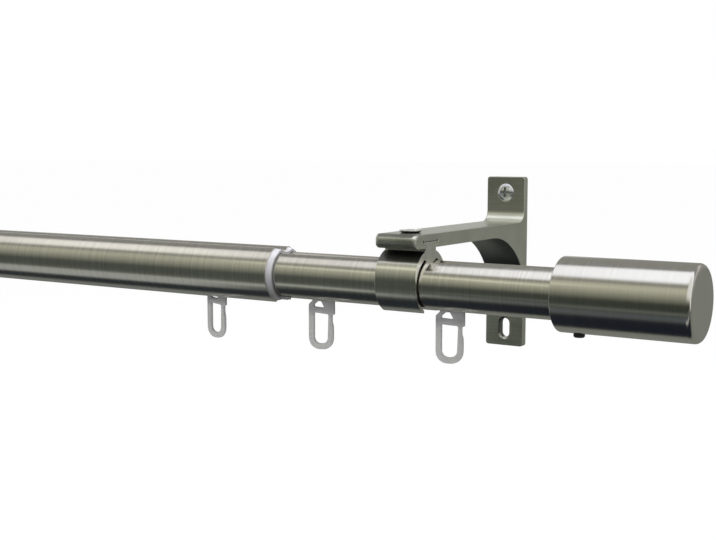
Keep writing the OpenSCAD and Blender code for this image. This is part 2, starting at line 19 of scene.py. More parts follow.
import bmesh
import bpy
import numpy as np
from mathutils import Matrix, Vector

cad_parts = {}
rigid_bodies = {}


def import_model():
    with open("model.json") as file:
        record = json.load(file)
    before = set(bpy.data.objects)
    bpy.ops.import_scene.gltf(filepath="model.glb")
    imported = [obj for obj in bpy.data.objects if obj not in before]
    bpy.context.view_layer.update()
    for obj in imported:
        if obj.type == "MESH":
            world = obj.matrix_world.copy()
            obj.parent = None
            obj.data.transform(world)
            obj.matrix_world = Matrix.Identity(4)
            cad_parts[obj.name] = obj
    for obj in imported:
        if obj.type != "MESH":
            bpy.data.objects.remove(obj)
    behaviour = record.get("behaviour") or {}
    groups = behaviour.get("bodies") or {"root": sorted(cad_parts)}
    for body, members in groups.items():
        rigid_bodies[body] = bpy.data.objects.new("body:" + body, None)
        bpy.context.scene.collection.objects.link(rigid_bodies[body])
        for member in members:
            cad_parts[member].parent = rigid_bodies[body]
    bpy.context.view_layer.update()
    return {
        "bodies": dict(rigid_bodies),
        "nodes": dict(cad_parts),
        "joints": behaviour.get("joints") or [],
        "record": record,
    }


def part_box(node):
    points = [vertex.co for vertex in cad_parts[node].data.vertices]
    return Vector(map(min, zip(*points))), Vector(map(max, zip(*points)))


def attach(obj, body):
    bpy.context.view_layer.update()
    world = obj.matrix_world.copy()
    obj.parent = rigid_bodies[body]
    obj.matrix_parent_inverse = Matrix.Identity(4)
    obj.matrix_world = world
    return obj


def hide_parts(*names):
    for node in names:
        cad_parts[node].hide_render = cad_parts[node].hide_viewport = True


LOG = logging.getLogger("curtain_rod")
MM = 0.001
AXIS_Y = -72.0 * MM
TURN_STEPS = 24
Colour = tuple[float, float, float]
Vec = tuple[float, float, float]
Pair = tuple[float, float]
Shell = tuple[np.ndarray, np.ndarray]


# Shader graph
class Sock:
    """A node's output socket with Python's arithmetic on it."""

    def __init__(self, graph: Graph, out: bpy.types.NodeSocket | None) -> None:
        """Keeps the graph that the socket belongs to, and the socket."""
        self.graph = graph
        self.out = out

    def _math(self, operation: str, *values: Any) -> Sock:
        """Adds one Math node of the given operation on the given values."""
        return self.graph.add("ShaderNodeMath", {"operation": operation}, dict(enumerate(values)))

    def __add__(self, other: Any) -> Sock:
        """self + other"""
        return self._math("ADD", self, other)

    __radd__ = __add__

    def __sub__(self, other: Any) -> Sock:
        """self - other"""
        return self._math("SUBTRACT", self, other)

    def __rsub__(self, other: Any) -> Sock:
        """other - self"""
        return self._math("SUBTRACT", other, self)

    def __mul__(self, other: Any) -> Sock:
        """self * other"""
        return self._math("MULTIPLY", self, other)

    __rmul__ = __mul__

    def __truediv__(self, other: Any) -> Sock:
        """self / other"""
        return self._math("DIVIDE", self, other)

    def __rtruediv__(self, other: Any) -> Sock:
        """other / self"""
        return self._math("DIVIDE", other, self)

    def clamp(self) -> Sock:
        """self held between 0 and 1"""
        return self._math("MINIMUM", self.maximum(0.0), 1.0)

    def maximum(self, other: Any) -> Sock:
        """The larger of self and other"""
        return self._math("MAXIMUM", self, other)

    def absolute(self) -> Sock:
        """Size of self without its sign"""
        return self._math("ABSOLUTE", self)

    def root(self) -> Sock:
        """Square root of self"""
        return self._math("SQRT", self)

    def arctan2(self, other: Any) -> Sock:
        """Angle of the point (other, self), from -pi to pi"""
        return self._math("ARCTAN2", self, other)

    def rise(self, start: float, end: float) -> Sock:
        """A mask: 0 where self is at start, 1 at end, straight between and level beyond."""
        return ((self - start) / (end - start)).clamp()

    def toward(self, other: Sock, share: Any) -> Sock:
        """self where share is 0 and other where it is 1"""
        return self + (other - self) * share


class Graph:
    """A node tree that is filled from Python expressions."""

    def __init__(self, tree: bpy.types.NodeTree) -> None:
        """Empties the tree and keeps it.

        Args:
            tree: The node tree of a material or of the world.
        """
        self.tree = tree
        tree.nodes.clear()

    def add(self, kind: str, settings: dict[str, Any], inputs: dict[Any, Any],
            out: int | str = 0) -> Sock:
        """Adds a node, sets it and joins its sockets.

        Args:
            kind: The node's Blender type.
            settings: Properties of the node.
            inputs: Values or sockets by input name or number.
            out: The output that is returned, by name or number.

        Returns:
            The chosen output, or an empty socket from a node that has none.
        """
        node = self.tree.nodes.new(kind)
        for name, value in settings.items():
            setattr(node, name, value)
        for name, value in inputs.items():
            socket = node.inputs[name]
            if isinstance(value, Sock):
                self.tree.links.new(value.out, socket)
            else:
                socket.default_value = value
        return Sock(self, node.outputs[out] if len(node.outputs) else None)

    def here(self) -> Sock:
        """The shaded point in the piece's own axes."""
        return self.add("ShaderNodeTexCoord", {}, {}, "Object")

    def about(self, centre: Vec) -> Sock:
        """The shaded point measured from a centre."""
        return self.add("ShaderNodeVectorMath", {"operation": "SUBTRACT"},
                        {0: self.here(), 1: centre})

    def cells(self, point: Sock, scale: Vec) -> Sock:
        """A point times the number of pattern cells per metre along each axis."""
        return self.add("ShaderNodeMapping", {"vector_type": "POINT"},
                        {"Vector": point, "Scale": scale})

    def split(self, vector: Sock) -> tuple[Sock, Sock, Sock]:
        """The X, Y and Z of a vector as numbers."""
        node = self.add("ShaderNodeSeparateXYZ", {}, {"Vector": vector}).out.node
        x, y, z = (Sock(self, node.outputs[name]) for name in "XYZ")
        return x, y, z

    def direction(self) -> Sock:
        """The surface's direction in the piece's own axes."""
        return self.add("ShaderNodeTexCoord", {}, {}, "Normal")

    def noise(self, where: Sock, scale: float, detail: float = 2.0, rough: float = 0.5) -> Sock:
        """Noise about 0.5 at the given coordinates, with scale cells per unit of them."""
        return self.add("ShaderNodeTexNoise", {"noise_dimensions": "3D"},
                        {"Vector": where, "Scale": scale, "Detail": detail, "Roughness": rough},
                        "Fac")

    def blend(self, fac: Any, a: Any, b: Any) -> Sock:
        """Colour a where fac is 0 and b where it is 1."""
        full = [(*v, 1.0) if isinstance(v, tuple) else v for v in (a, b)]
        return self.add("ShaderNodeMix", {"data_type": "RGBA"}, {0: fac, 6: full[0], 7: full[1]}, 2)

    def toned(self, colour: Sock, share: Any, tone: Any) -> Sock:
        """A colour where share is 0, and the colour times tone where it is 1."""
        scaled = self.add("ShaderNodeVectorMath", {"operation": "SCALE"},
                          {0: colour, "Scale": tone})
        return self.blend(share, colour, scaled)

    def softened(self, radius: float, samples: int = 4) -> Sock:
        """The surface's direction with its edges rounded over a radius."""
        return self.add("ShaderNodeBevel", {"samples": samples}, {"Radius": radius})

    def bumped(self, height: Sock, strength: float, distance: float,
               soft: Sock | None = None) -> Sock:
        """The surface's direction tilted by the slope of a height.

        Args:
            height: The height, from 0 to 1.
            strength: Share of the full tilt.
            distance: What a height of 1 stands for, in metres.
            soft: The direction that is tilted, where it isn't the surface's own.

        Returns:
            The tilted direction.
        """
        own = {} if soft is None else {"Normal": soft}
        return self.add("ShaderNodeBump", {}, {
            "Strength": strength, "Distance": distance, "Height": height, **own})

    def surface(self, base: Sock, rough: Sock, bump: Sock, metallic: float = 1.0) -> Sock:
        """The shader of a colour, a roughness of at least 0.05, a direction and a metal share."""
        return self.add("ShaderNodeBsdfPrincipled", {}, {
            "Base Color": base, "Metallic": metallic, "Roughness": rough.maximum(0.05),
            "Normal": bump})


def node_material(name: str, shade: Callable[[Graph], Sock]) -> bpy.types.Material:
    """Makes a material of nodes.

    Args:
        name: The material's name.
        shade: The function that adds the shader to the material's graph.

    Returns:
        The new material.
    """
    made = bpy.data.materials.new(name)
    made.use_nodes = True
    graph = Graph(made.node_tree)
    graph.add("ShaderNodeOutputMaterial", {}, {"Surface": shade(graph)})
    return made


def mixed(*parts: tuple[Sock, float]) -> Sock:
    """Noises about 0.5, each less 0.5 and times its weight, added up."""
    first, *rest = ((noise - 0.5) * weight for noise, weight in parts)
    return sum(rest, first)


def cut_face(fx: Sock) -> Sock:
    """1 on faces that are cut square to the rod, from the X of their direction."""
    return fx.absolute().rise(0.75, 0.875)


# Finishes
class Grain(Enum):
    """Which way a metal is brushed."""

    ROUND_X = "round the rod"
    RINGS_Z = "in rings about an upright axis"


@dataclass(frozen=True)
class Finish:
    """Base of every finish: a name, a colour and how to dress an object with them."""

    name: str
    colour: Colour

    def material(self) -> bpy.types.Material:
        """The finish as a Blender material, made once."""
        known = bpy.data.materials.get(self.name)
        if known:
            return known
        made = node_material(self.name, self.shade)
        made.diffuse_color = (*self.colour, 1.0)
        return made

    def shade(self, graph: Graph) -> Sock:
        """Builds the finish's shader; each kind of finish has its own.

        Args:
            graph: The material's graph.

        Returns:
            The shader.
        """
        raise NotImplementedError

    def tinted(self, amount: float) -> Colour:
        """The colour times an amount, held at 1."""
        red, green, blue = (min(1.0, part * amount) for part in self.colour)
        return red, green, blue

    def varied(self, graph: Graph, tone: Sock, contrast: float) -> Sock:
        """The colour times 1 - contrast to 1 + contrast, as tone goes from -0.5 to 0.5."""
        return graph.blend((tone + 0.5).clamp(), self.tinted(1.0 - contrast),
                           self.tinted(1.0 + contrast))

    def dress(self, obj: bpy.types.Object) -> None:
        """Puts the material in every slot of an object.

        Args:
            obj: The object; one without slots gets a slot.
        """
        if not obj.material_slots:
            obj.data.materials.append(self.material())
        for slot in obj.material_slots:
            slot.material = self.material()


@dataclass(frozen=True)
class BrushedMetal(Finish):
    """Nickel-coloured steel with fine brush lines.

    A line pattern is noise that changes fast across the brushing and slowly along it, and hair
    and streak give both in cells per metre, as cloud and speck do for patches. Faces cut square
    to the rod have upright lines of their own, with specks between them. Bores are rougher, and
    their colour is painted darker as shade. What looks up is painted lighter as a highlight,
    which is the shoulder, and its very top is painted dark as shade, which is the crown, as is
    the underside. Directions are unit vectors, so a mask on fz is on the sine of the slope.
    """

    grain: Grain = Grain.ROUND_X
    roughness: float = 0.2
    centre: Vec = (0.0, AXIS_Y, 0.0)
    hair: Pair = (3600.0, 50.0)
    streak: Pair = (1500.0, 25.0)
    cloud: float = 45.0
    speck: float = 3000.0
    speckle: float = 0.25
    line_gain: float = 2.5
    contrast: float = 0.10
    depth: float = 0.25
    edge: float = 0.25 * MM
    # Painted shade: bores are darkened to this share of the colour.
    bore_shade_tone: float = 0.22
    cut_tone: float = 1.0
    # Painted light and shade: what looks up is lighter as a painted highlight, and its top and the
    # underside are darkened towards shade_colour as painted shade.
    shoulder_highlight_tone: float = 1.0
    crown_shade_tone: float = 1.0
    under_shade_tone: float = 1.0
    shade_colour: Colour = (0.022, 0.023, 0.028)

    def lines(self, graph: Graph, cells: Pair, cut: Sock) -> Sock:
        """Brush lines with the given cells per metre across them and along them.

        Args:
            graph: The material's graph.
            cells: Cells per metre across the lines, and along them.
            cut: 1 on faces that are cut square to the rod.

        Returns:
            Noise about 0.5.
        """
        fine, slow = cells
        point = graph.about(self.centre)
        if self.grain is Grain.RINGS_Z:
            x, y, _ = graph.split(point)
            radius = (x * x + y * y).root()
            where = graph.add("ShaderNodeCombineXYZ", {}, {
                "X": radius * fine, "Y": x * slow, "Z": y * slow})
            return graph.noise(where, 1.0, detail=3.0, rough=0.6)
        skin, face = (graph.noise(graph.cells(point, scale), 1.0, detail=3.0, rough=0.6)
                      for scale in ((fine, slow, slow), (slow, fine, slow)))
        return skin.toward(face, cut)

    def inside(self, graph: Graph, fy: Sock, fz: Sock) -> Sock:
        """Finds bores, whose direction d points against the place p from the centre line.

        The mask goes from 0 to 1 as d.p / |p| goes from 0 to -0.25.

        Args:
            graph: The material's graph.
            fy: Y of the surface's direction.
            fz: Z of the surface's direction.

        Returns:
            1 inside a bore and 0 outside.
        """
        _, y, z = graph.split(graph.about(self.centre))
        outward = (fy * y + fz * z) / (y * y + z * z).root()
        return outward.rise(0.0, -0.25)

    def shade(self, graph: Graph) -> Sock:
        """Builds metal whose lines vary its colour, roughness and surface.

        Args:
            graph: The material's graph.

        Returns:
            The shader.
        """
        fx, fy, fz = graph.split(graph.direction())
        cut = cut_face(fx)
        inside = self.inside(graph, fy, fz)
        hair, streak = (self.lines(graph, cells, cut) for cells in (self.hair, self.streak))
        point = graph.about(self.centre)
        cloud = graph.noise(point, self.cloud, detail=3.0)
        speck = graph.noise(point, self.speck, rough=0.7)
        tone = mixed((hair, 0.95), (streak, 0.55), (cloud, 0.15)) * (2.0 * self.contrast)
        tone = tone + mixed((speck, self.speckle)) * cut
        base = self.varied(graph, tone * self.line_gain, self.contrast)
        base = graph.toned(base, cut, self.cut_tone)
        # Bores are painted darker as shade.
        base = graph.blend(inside, base, self.tinted(self.bore_shade_tone))
        # Painted highlight on the shoulder; painted shade on the crown and on the underside.
        shoulder = fz.rise(0.34, 0.4233)
        base = graph.toned(base, shoulder, self.shoulder_highlight_tone)
        crown = fz.rise(0.56, 0.6225) * (1.0 - self.crown_shade_tone)
        under = fz.rise(0.0, -0.2) * (1.0 - self.under_shade_tone)
        base = graph.blend(under.maximum(crown), base, self.shade_colour)
        rough = mixed((streak, 0.10), (hair, 0.06)) + self.roughness
        rough = rough + inside * 0.2 + cut * 0.06 + crown * 0.25
        bump = graph.bumped(hair * 0.7 + streak * 0.5, self.depth, 0.01 * MM,
                            graph.softened(self.edge))
        return graph.surface(base, rough, bump)


@dataclass(frozen=True)
class SatinMetal(Finish):
    """Extruded metal with a fine satin bloom and drawn lines along the extrusion.

    The lines run with the rod, as the bracket is cut from a bar that was drawn along X. Its sawn
    sides are lighter and speckled, and its edges are lighter, partly as worn metal and partly as
    a painted highlight. The other kinds of face get painted light and shade, told by their
    direction and place: painted highlights on the curves that look up and out, on the low part
    of the plate's face, on the nose's front and on the arm's root, and painted shade on the
    other faces that look into the room, on the slot's walls, on the underside and on the nose's
    bevel. A pair of lengths gives where such a stretch starts and where it is full.
    """

    slot_x: float = 0.0
    roughness: float = 0.37
    grain: float = 5200.0
    drawn: Vec = (60.0, 2600.0, 2600.0)
    patch: float = 90.0
    contrast: float = 0.22
    grain_gain: float = 2.4
    edge: float = 0.45 * MM
    wear: float = 7.0
    # Edges are lighter by this tone, partly as wear and partly as a painted highlight.
    edge_wear_and_highlight_tone: float = 1.65
    # The tones and the colour below, all but the sawn tone, are painted light and shade: a tone
    # above 1 is a painted highlight, and a tone below 1 and the dark colour are painted shade.
    curve_highlight_tone: float = 1.62
    sawn_tone: float = 1.20
    face_shade_tone: float = 0.79
    low_z: Pair = (-10.0 * MM, -15.0 * MM)
    low_face_highlight_tone: float = 1.65
    slot_reach: Pair = (6.0 * MM, 5.0 * MM)
    plate_y: Pair = (-4.0 * MM, -3.0 * MM)
    slot_shade_tone: float = 0.35
    under_shade_tone: float = 0.38
    under_shade_colour: Colour = (0.034, 0.038, 0.050)
    root_y: Pair = (-16.0 * MM, -6.0 * MM)
    root_highlight_tone: float = 1.30
    nose_y: Pair = (-77.0 * MM, -78.5 * MM)
    nose_edge: float = 1.5 * MM
    nose_front_highlight_tone: float = 1.12
    bevel_shade_tone: float = 0.36

    def worn_and_highlight_edge(self, graph: Graph, soft: Sock, spots: Sock) -> Sock:
        """Share of the edges that is lighter, partly as bare worn metal and partly as a painted
        highlight.

        With n the face's direction and b the softened one, it is wear (1 - n.b) times the spots.

        Args:
            graph: The material's graph.
            soft: The softened direction of the surface.
            spots: Noise that breaks the wear up.

        Returns:
            A share between 0 and 1.
        """
        same = graph.add("ShaderNodeVectorMath", {"operation": "DOT_PRODUCT"},
                         {0: graph.direction(), 1: soft}, "Value")
        return ((1.0 - same) * self.wear * (spots * 3.2 - 0.9).clamp()).clamp()

    def toned_faces(self, graph: Graph, base: Sock, nose: Sock) -> Sock:
        """Gives each kind of face its own tone, which but for the sawn faces is painted light and
        shade.

        Args:
            graph: The material's graph.
            base: The metal's colour.
            nose: 1 on the arm's nose.

        Returns:
            The colour times the tones of the faces.
        """
        x, y, z = graph.split(graph.here())
        fx, fy, fz = graph.split(graph.direction())
        curve = fz.rise(0.12, 0.32) * fy.rise(-0.12, -0.32)
        flat = fy.rise(-0.75, -0.9167) * (1.0 - nose)
        walls = (x - self.slot_x).absolute().rise(*self.slot_reach) * y.rise(*self.plate_y)
        walls = walls * fx.absolute().rise(0.3, 0.55)
        # Painted highlight on the curves and on the plate's low part, painted shade on the faces
        # that look into the room and on the slot's walls; the sawn faces' tone is the metal's own.
        for share, tone in ((curve, self.curve_highlight_tone), (flat, self.face_shade_tone),
                            (z.rise(*self.low_z) * flat, self.low_face_highlight_tone),
                            (cut_face(fx), self.sawn_tone), (walls, self.slot_shade_tone)):
            base = graph.toned(base, share, tone)
        # Painted shade on the underside.
        under = fz.rise(-0.2, -0.45) * (1.0 - self.under_shade_tone) * (1.0 - nose)
        base = graph.blend(under, base, self.under_shade_colour)
        # Painted highlight on the nose's front, painted shade on its bevel.
        front = nose * fx.absolute().rise(0.45, 0.25)
        bevel = fz.rise(0.15, 0.35)
        base = graph.toned(base, front,
                           bevel * (self.bevel_shade_tone - self.nose_front_highlight_tone) + self.nose_front_highlight_tone)
        # Painted highlight on the arm's root.
        return graph.toned(base, fz.rise(0.8, 1.0) * y.rise(*self.root_y), self.root_highlight_tone)

    def shade(self, graph: Graph) -> Sock:
        """Builds metal with a fine even grain, drawn lines, soft patches, edges that are partly
        worn and partly a painted highlight, and painted light and shade on its faces.

        Args:
            graph: The material's graph.

        Returns:
            The shader.
        """
        point = graph.here()
        cut = cut_face(graph.split(graph.direction())[0])
        nose = graph.split(point)[1].rise(*self.nose_y)
        grain = graph.noise(point, self.grain, rough=0.7)
        patch = graph.noise(point, self.patch, detail=3.0)
        drawn = graph.noise(graph.cells(point, self.drawn), 1.0)
        lines = drawn.toward(grain, cut)
        tone = mixed((grain, 0.30), (lines, 0.40), (patch, 0.45)) * self.grain_gain
        base = self.varied(graph, tone * (nose + 1.0), self.contrast)
        base = self.toned_faces(graph, base, nose)
        crisp, worn = (graph.softened(radius, 6) for radius in (self.edge, self.nose_edge))
        # Edges are lighter, partly as wear and partly as a painted highlight.
        base = graph.blend(self.worn_and_highlight_edge(graph, crisp, grain), base,
                           self.tinted(self.edge_wear_and_highlight_tone))
        rough = mixed((patch, 0.12), (grain, 0.10)) + self.roughness
        bump = graph.bumped((grain + lines) * 0.6, 0.30, 0.02 * MM,
                            graph.blend(nose, crisp, worn))
        return graph.surface(base, rough, bump)


@dataclass(frozen=True)
class ZincPlate(Finish):
    """Bright zinc: mirror patches between crystals of slightly different tone."""

    roughness: float = 0.21
    crystal: float = 900.0
    crystal_tone: float = 0.62
    pit: float = 3500.0
    # Painted shade: the recess's steep walls are darkened to this share.
    recess_shade_tone: float = 0.80
    edge: float = 0.15 * MM

    def shade(self, graph: Graph) -> Sock:
        """Builds metal with crystal patches, fine pits, and steep walls painted darker as shade.

        Args:
            graph: The material's graph.

        Returns:
            The shader.
        """
        cell = graph.add("ShaderNodeTexVoronoi", {"feature": "F1"},
                         {"Vector": graph.here(), "Scale": self.crystal}, "Distance")
        pit = graph.noise(graph.here(), self.pit)
        base = graph.blend((cell * 0.9 + pit * 0.9 - 0.25).clamp(), self.colour,
                           self.tinted(self.crystal_tone))
        fx, _, fz = graph.split(graph.direction())
        # The recess's steep walls are painted darker as shade.
        walls = fx.absolute().maximum(fz.absolute()).rise(0.75, 0.9167)
        base = graph.blend(walls, base, self.tinted(self.recess_shade_tone))
        rough = mixed((pit, 0.2)) + self.roughness
        bump = graph.bumped(pit + cell * 0.4, 0.4, 0.03 * MM, graph.softened(self.edge))
        return graph.surface(base, rough, bump)


@dataclass(frozen=True)
class BlackOxide(Finish):
    """Blackened steel with a dull sheen and faint brown bloom."""

    bloom: float = 1800.0
    bloom_tone: float = 2.4
    metallic: float = 0.6

    def shade(self, graph: Graph) -> Sock:
        """Builds dark metal varied by a fine bloom.

        Args:
            graph: The material's graph.

        Returns:
            The shader.
        """
        bloom = graph.noise(graph.here(), self.bloom, detail=3.0)
        base = graph.blend(bloom, self.colour, self.tinted(self.bloom_tone))
        bump = graph.bumped(bloom, 0.3, 0.03 * MM)
        return graph.surface(base, bloom * 0.25 + 0.3, bump, self.metallic)


@dataclass(frozen=True)
class MouldedPlastic(Finish):
    """Injection-moulded plastic: faint flow marks and a fine eroded skin.

    The colour may fade to another one below, over a height whose middle is at fade_z. The fade
    is painted shade: the collar is darker towards the bottom, and the loops are darker at the
    top, under the rod.
    """

    roughness: float = 0.42
    flow: float = 260.0
    skin: float = 6500.0
    contrast: float = 0.10
    # The low colour and its fade are painted shade.
    shade_fade_low_colour: Colour | None = None
    fade_z: float = 0.0
    fade: float = 16.0 * MM

    def shade(self, graph: Graph) -> Sock:
        """Builds plastic with flow marks in its colour and a fine skin in its surface.

        Args:
            graph: The material's graph.

        Returns:
            The shader.
        """
        flow = graph.noise(graph.here(), self.flow, detail=3.0)
        skin = graph.noise(graph.here(), self.skin)
        base = self.varied(graph, mixed((flow, 2.2), (skin, 0.5)), self.contrast)
        # Painted shade: the colour fades to the low colour below.
        if self.shade_fade_low_colour:
            height = graph.split(graph.here())[2]
            share = height.rise(self.fade_z + self.fade / 2.0, self.fade_z - self.fade / 2.0)
            base = graph.blend(share, base, self.shade_fade_low_colour)
        rough = mixed((skin, 0.12)) + self.roughness
        return graph.surface(base, rough, graph.bumped(skin, 0.25, 0.02 * MM), 0.0)


TUBE = BrushedMetal("brushed_tube", (0.74, 0.715, 0.655), roughness=0.18, contrast=0.22)
CAP = BrushedMetal("brushed_cap", (0.74, 0.715, 0.66), roughness=0.18, contrast=0.14)
BRACKET = SatinMetal("satin_bracket", (0.58, 0.58, 0.51))
# The clamp's crown, under the arm, is painted dark as shade, and its shoulder is painted light as a
# highlight.
CLAMP = BrushedMetal("brushed_clamp", (0.72, 0.71, 0.65), roughness=0.20, contrast=0.19,
                     edge=0.4 * MM, bore_shade_tone=0.6, cut_tone=1.15, speckle=0.9, crown_shade_tone=0.15,
                     shoulder_highlight_tone=1.35)
# The bolt's underside is painted dark as shade under its head.
BOLT = BrushedMetal("turned_bolt", (0.80, 0.79, 0.77), Grain.RINGS_Z, roughness=0.22,
                    bore_shade_tone=0.9, under_shade_tone=0.06)
ZINC = ZincPlate("zinc_plate", (0.93, 0.94, 0.95))
BLACK = BlackOxide("black_oxide", (0.022, 0.021, 0.020))
# The loops are painted darker at the top, as shadow under the rod, and the collar darker towards
# the bottom, as shade.
GREY = MouldedPlastic("grey_loop_plastic", (0.27, 0.27, 0.27), shade_fade_low_colour=(0.40, 0.40, 0.395),
                      fade_z=-12.5 * MM, fade=3.0 * MM)
PALE = MouldedPlastic("pale_collar_plastic", (0.64, 0.635, 0.675), roughness=0.35,
                      shade_fade_low_colour=(0.14, 0.142, 0.14), fade_z=2.0 * MM)
DARK = MouldedPlastic("dark_guide_plastic", (0.07, 0.07, 0.07), roughness=0.5)


# Surfaces as numpy arrays
def grid_faces(rows: int, cols: int) -> np.ndarray:
    """Quads of a grid of points, row by row; each row's last point joins its first.

    Args:
        rows: Number of rows of points.
        cols: Number of points in a row.

    Returns:
        An array of four point numbers a face.
    """
    r = np.arange(rows - 1)[:, None]
    c = np.arange(cols)[None, :]
    n = (c + 1) % cols
    quads = np.stack([r * cols + c, r * cols + n, (r + 1) * cols + n, (r + 1) * cols + c], axis=-1)
    return quads.reshape(-1, 4)


def loft(rings: np.ndarray) -> Shell:
    """A closed tube through rings of points, with a fan over each end.

    P(i, j) is point j of ring i; each end fan meets in the ring's mean point.

    Args:
        rings: Points of shape (rings, points, 3).

    Returns:
        The points and the quads; a fan's triangles repeat a corner.
    """
    count, ring, _ = rings.shape
    points = np.concatenate([rings.reshape(-1, 3), rings[0].mean(0)[None], rings[-1].mean(0)[None]])
    side = grid_faces(count, ring)
    j = np.arange(ring)
    n = (j + 1) % ring
    first = np.full(ring, count * ring)
    last = first + 1
    top = (count - 1) * ring
    near = np.stack([first, n, j, j], axis=-1)
    far = np.stack([last, top + j, top + n, top + n], axis=-1)
    return points, np.concatenate([side, near, far])


def rounded_section(half: np.ndarray, deep: float, bend: float, steps: int = 6) -> Shell:
    """Round-cornered rectangle about each of several bands.

    With an angle a, corner signs (p, q) and corner radius r, a point of the section is
    (p (half - r) + r cos a, q (deep - r) + r sin a).

    Args:
        half: Half the width of the band at each place along it.
        deep: Half its thickness.
        bend: Corner radius.
        steps: Points in a corner.

    Returns:
        Places across the band and through its thickness, each of shape (len(half), 4 * steps).
    """
    quarter = np.linspace(0.0, np.pi / 2, steps)
    a = np.concatenate([quarter + k * np.pi / 2 for k in range(4)])
    p = np.repeat([1.0, -1.0, -1.0, 1.0], steps)
    q = np.repeat([1.0, 1.0, -1.0, -1.0], steps)
    r = np.minimum(bend, np.minimum(half, deep) * 0.98)[:, None]
    return (half[:, None] - r) * p + r * np.cos(a), (deep - r) * q + r * np.sin(a)


def frame_ring(outer: np.ndarray, inner: np.ndarray, deep: float, bend: float) -> Shell:
    """A closed flat frame with rounded edges between two outlines in X and Z.

    P(s, a) = middle(s) + across(s, a) * out(s) + through(s, a) * Y, where out(s) points from
    the inner outline to the outer one and (across, through) is the rounded section.

    Args:
        outer: Points of the outer outline, shape (n, 2).
        inner: The inner outline's points, one for each outer one.
        deep: Thickness of the frame along Y.
        bend: Radius of its edges.

    Returns:
        Points and quads; the last row of points joins the first.
    """
    middle, out = (outer + inner) / 2, (outer - inner) / 2
    half = np.linalg.norm(out, axis=1)
    across, through = rounded_section(half, deep / 2, bend)
    flat = middle[:, None, :] + across[:, :, None] * (out / half[:, None])[:, None, :]
    grid = np.stack([flat[..., 0], through, flat[..., 1]], axis=-1)
    rows, cols = grid.shape[:2]
    return grid.reshape(-1, 3), grid_faces(rows + 1, cols) % (rows * cols)


def polyline(corners: Sequence[tuple[float, float]], count: int) -> np.ndarray:
    """Points at even steps of length along a line of corners, both ends included.

    Args:
        corners: The corners, in order.
        count: Number of points.

    Returns:
        Points of shape (count, 2).
    """
    path = np.array(corners, dtype=float)
    run = np.concatenate([[0.0], np.cumsum(np.linalg.norm(np.diff(path, axis=0), axis=1))])
    t = np.linspace(0.0, run[-1], count)
    return np.stack([np.interp(t, run, path[:, 0]), np.interp(t, run, path[:, 1])], axis=-1)


def revolve(profile: np.ndarray, steps: int = 32) -> Shell:
    """A closed solid of revolution about Z: P(i, a) = (r_i cos a, r_i sin a, z_i).

    Args:
        profile: Rows of (radius, height) from one end to the other.
        steps: Points round the axis.

    Returns:
        Points and quads.
    """
    a = np.linspace(0.0, 2.0 * np.pi, steps, endpoint=False)
    r, z = profile[:, :1], profile[:, 1:]
    return loft(np.stack([r * np.cos(a), r * np.sin(a), np.broadcast_to(z, (len(z), steps))], -1))


def helix_ridge(radius: np.ndarray, start: float, pitch: float, height: float) -> Shell:
    """A thread's ridge wound about Z.

    P(t, k) = ((R(t) + h_k) cos a, (R(t) + h_k) sin a, z(t) + w_k), a = 2 pi t / pitch along the
    screw, where (h_k, w_k) is a small triangle that fades at both ends.

    Args:
        radius: Core radius at equal steps along the screw, TURN_STEPS of them in one turn.
        start: Height of the thread's first point.
        pitch: Rise of a turn.
        height: Height of the ridge over the core.

    Returns:
        Points and quads.
    """
    k = np.arange(len(radius))
    a = 2.0 * np.pi * k / TURN_STEPS
    fade = np.clip(np.minimum(k, k[::-1]) / TURN_STEPS, 0.05, 1.0)
    bed = 0.05 * MM
    foot = 0.38
    h = np.array([-bed, height, -bed])[None, :] * fade[:, None] + radius[:, None]
    w = np.array([-foot, 0.0, foot])[None, :] * pitch * fade[:, None]
    z = start + pitch * k[:, None] / TURN_STEPS + w
    return loft(np.stack([h * np.cos(a)[:, None], h * np.sin(a)[:, None], z], axis=-1))


def moved(part: Shell, move: Callable[[np.ndarray], np.ndarray]) -> Shell:
    """The shell with a function applied to its points."""
    return move(part[0]), part[1]


def turned_about_z(points: np.ndarray, angle: float, to: Vec) -> np.ndarray:
    """Turns points about Z and then moves them: p' = Rz(angle) p + to.

    Args:
        points: Points of shape (n, 3).
        angle: The turn in radians.
        to: Where the origin goes.

    Returns:
        The new points.
    """
    c, s = math.cos(angle), math.sin(angle)
    spin = np.array([[c, -s, 0.0], [s, c, 0.0], [0.0, 0.0, 1.0]])
    return points @ spin.T + np.array(to)


def linked(name: str, data: bpy.types.ID) -> bpy.types.Object:
    """A new object with the given data, linked to the scene."""
    obj = bpy.data.objects.new(name, data)
    bpy.context.scene.collection.objects.link(obj)
    return obj


def mesh_object(name: str, points: np.ndarray, faces: Sequence[Sequence[int]]) -> bpy.types.Object:
    """Makes a mesh object whose place is in its mesh.

    Args:
        name: The object's and the mesh's name.
        points: Points of shape (n, 3).
        faces: Point numbers of each face.

    Returns:
        The new object, linked to the scene.
    """
    mesh = bpy.data.meshes.new(name)
    mesh.from_pydata(points.tolist(), [], faces)
    return linked(name, mesh)


def recalc_outside(mesh: bpy.types.Mesh) -> None:
    """Turns every shell's faces outwards.

    Args:
        mesh: The mesh of closed shells, which is changed.
    """
    work = bmesh.new()
    work.from_mesh(mesh)
    bmesh.ops.recalc_face_normals(work, faces=work.faces[:])
    work.to_mesh(mesh)
    work.free()


